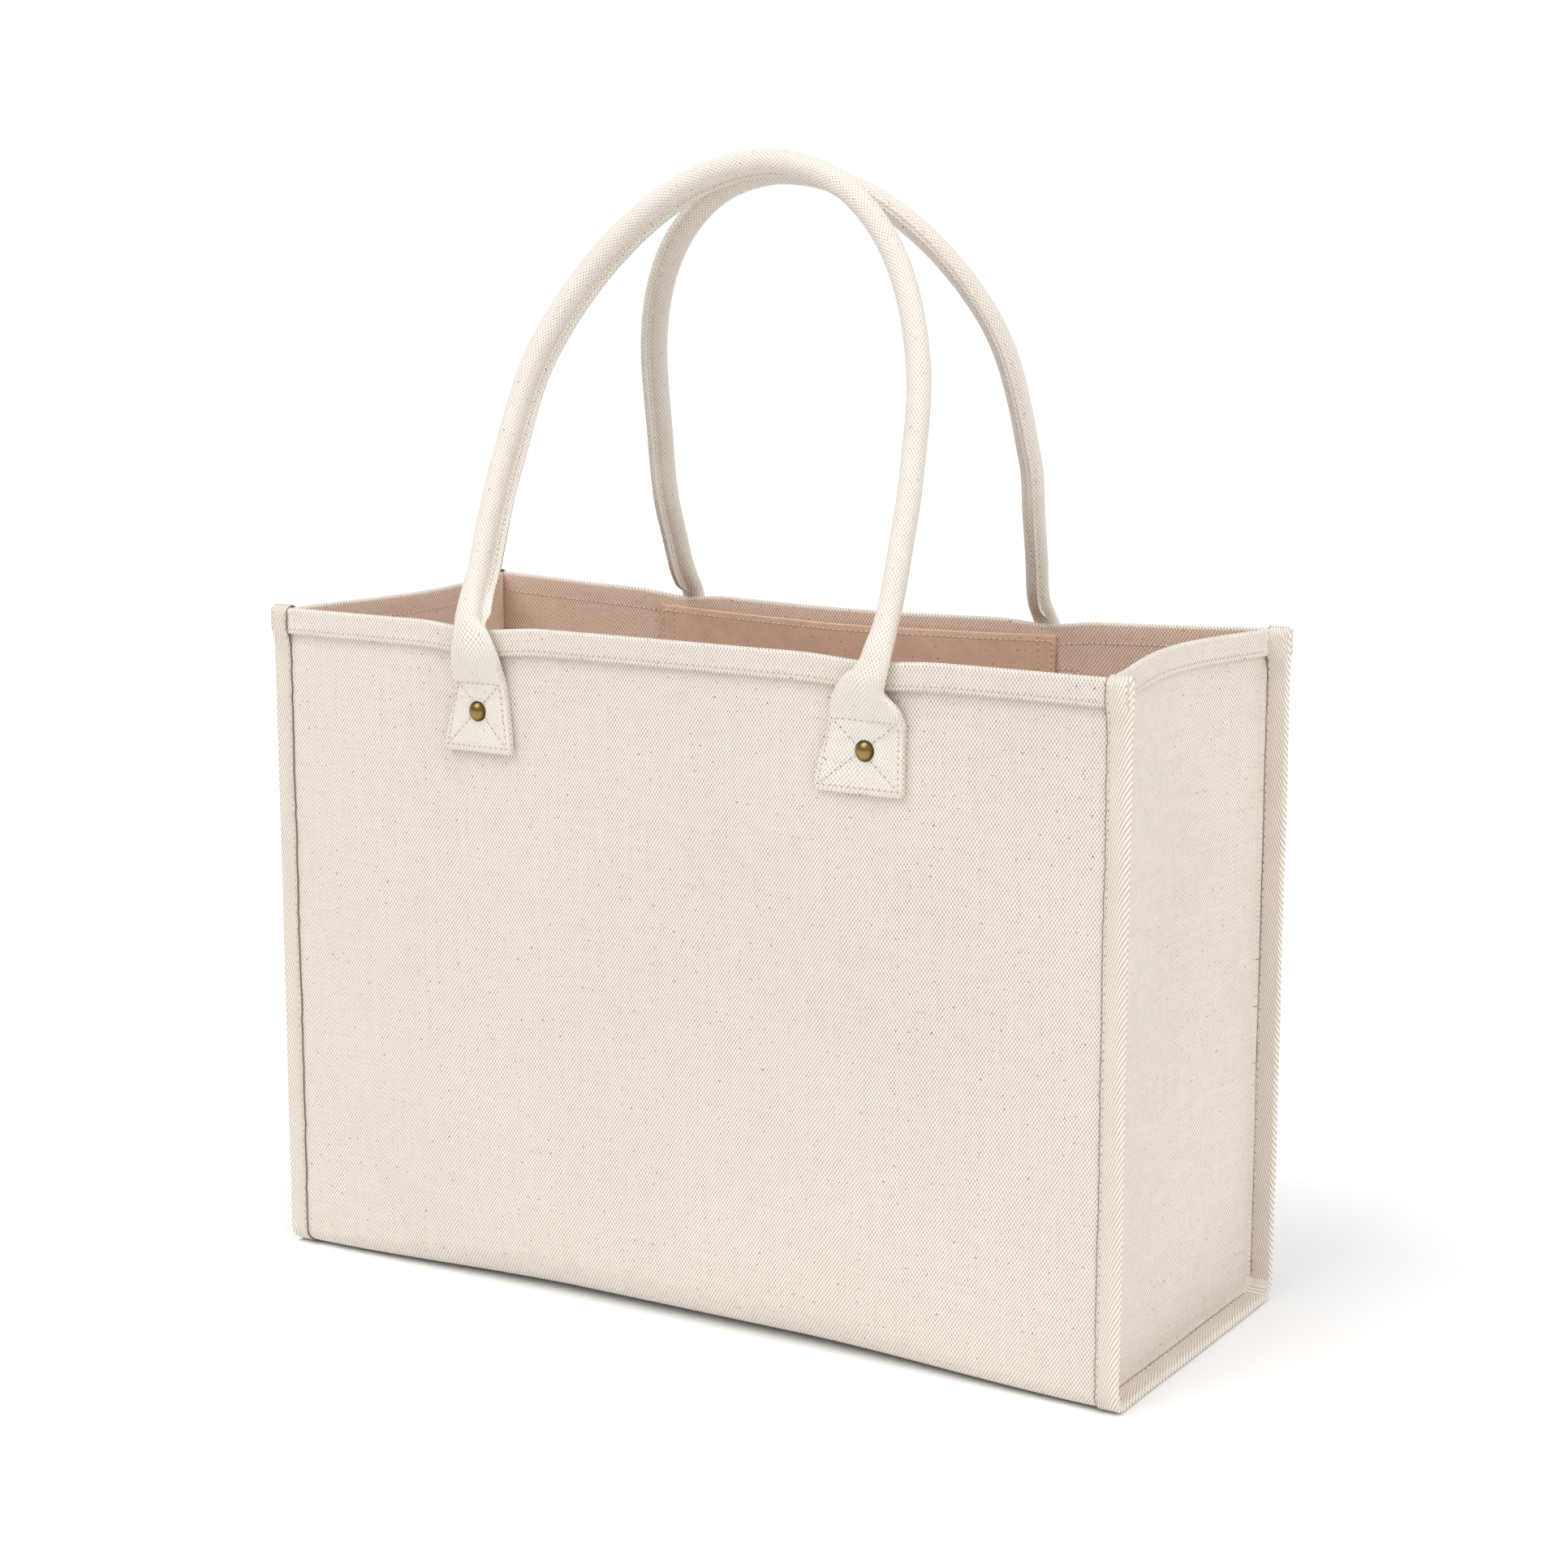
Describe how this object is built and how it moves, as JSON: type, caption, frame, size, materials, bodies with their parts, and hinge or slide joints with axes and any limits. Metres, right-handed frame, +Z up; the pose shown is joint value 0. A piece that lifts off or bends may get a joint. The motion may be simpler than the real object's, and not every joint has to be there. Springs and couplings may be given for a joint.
{
  "type": "canvas tote bag",
  "caption": "Open box-bottomed canvas tote bag with taped side seams, an inner slip pocket and rope-cored canvas handles that fold outward from riveted tabs.",
  "frame": {"origin": "on the floor, under the middle of the bag's base", "axes": "+Z up, X along the width from the left side seam to the right, front face towards -Y"},
  "size_m": [0.4312, 0.1928, 0.5108],
  "materials": {
    "canvas": "heavy plain-weave cotton, unbleached",
    "handle_canvas": "heavy plain-weave cotton, sewn tube",
    "twill_tape": "herringbone cotton tape",
    "pocket_cotton": "thin plain cotton",
    "cotton_rope": "twisted cotton rope",
    "rivet_brass": "antique brass",
    "thread": "waxed cotton thread"
  },
  "bodies": {
    "bag": {"body_panel": "canvas", "gusset_left": "canvas", "gusset_right": "canvas", "binding_left": "twill_tape", "binding_right": "twill_tape", "inner_pocket": "pocket_cotton", "front_left_tab": "handle_canvas", "front_left_rivet_head": "rivet_brass", "front_left_rivet_back": "rivet_brass", "front_right_tab": "handle_canvas", "front_right_rivet_head": "rivet_brass", "front_right_rivet_back": "rivet_brass", "back_left_tab": "handle_canvas", "back_left_rivet_head": "rivet_brass", "back_left_rivet_back": "rivet_brass", "back_right_tab": "handle_canvas", "back_right_rivet_head": "rivet_brass", "back_right_rivet_back": "rivet_brass"},
    "front_handle": {"front_handle_cover": "handle_canvas", "front_handle_core": "cotton_rope"},
    "back_handle": {"back_handle_cover": "handle_canvas", "back_handle_core": "cotton_rope"}
  },
  "joints": [
    {"name": "front_handle_fold", "type": "hinge", "parent": "bag", "child": "front_handle", "pos_m": [0, -0.097, 0.291], "axis": [1, 0, 0], "range_deg": [0, 198]},
    {"name": "back_handle_fold", "type": "hinge", "parent": "bag", "child": "back_handle", "pos_m": [0, 0.097, 0.291], "axis": [-1, 0, 0], "range_deg": [0, 198]}
  ]
}
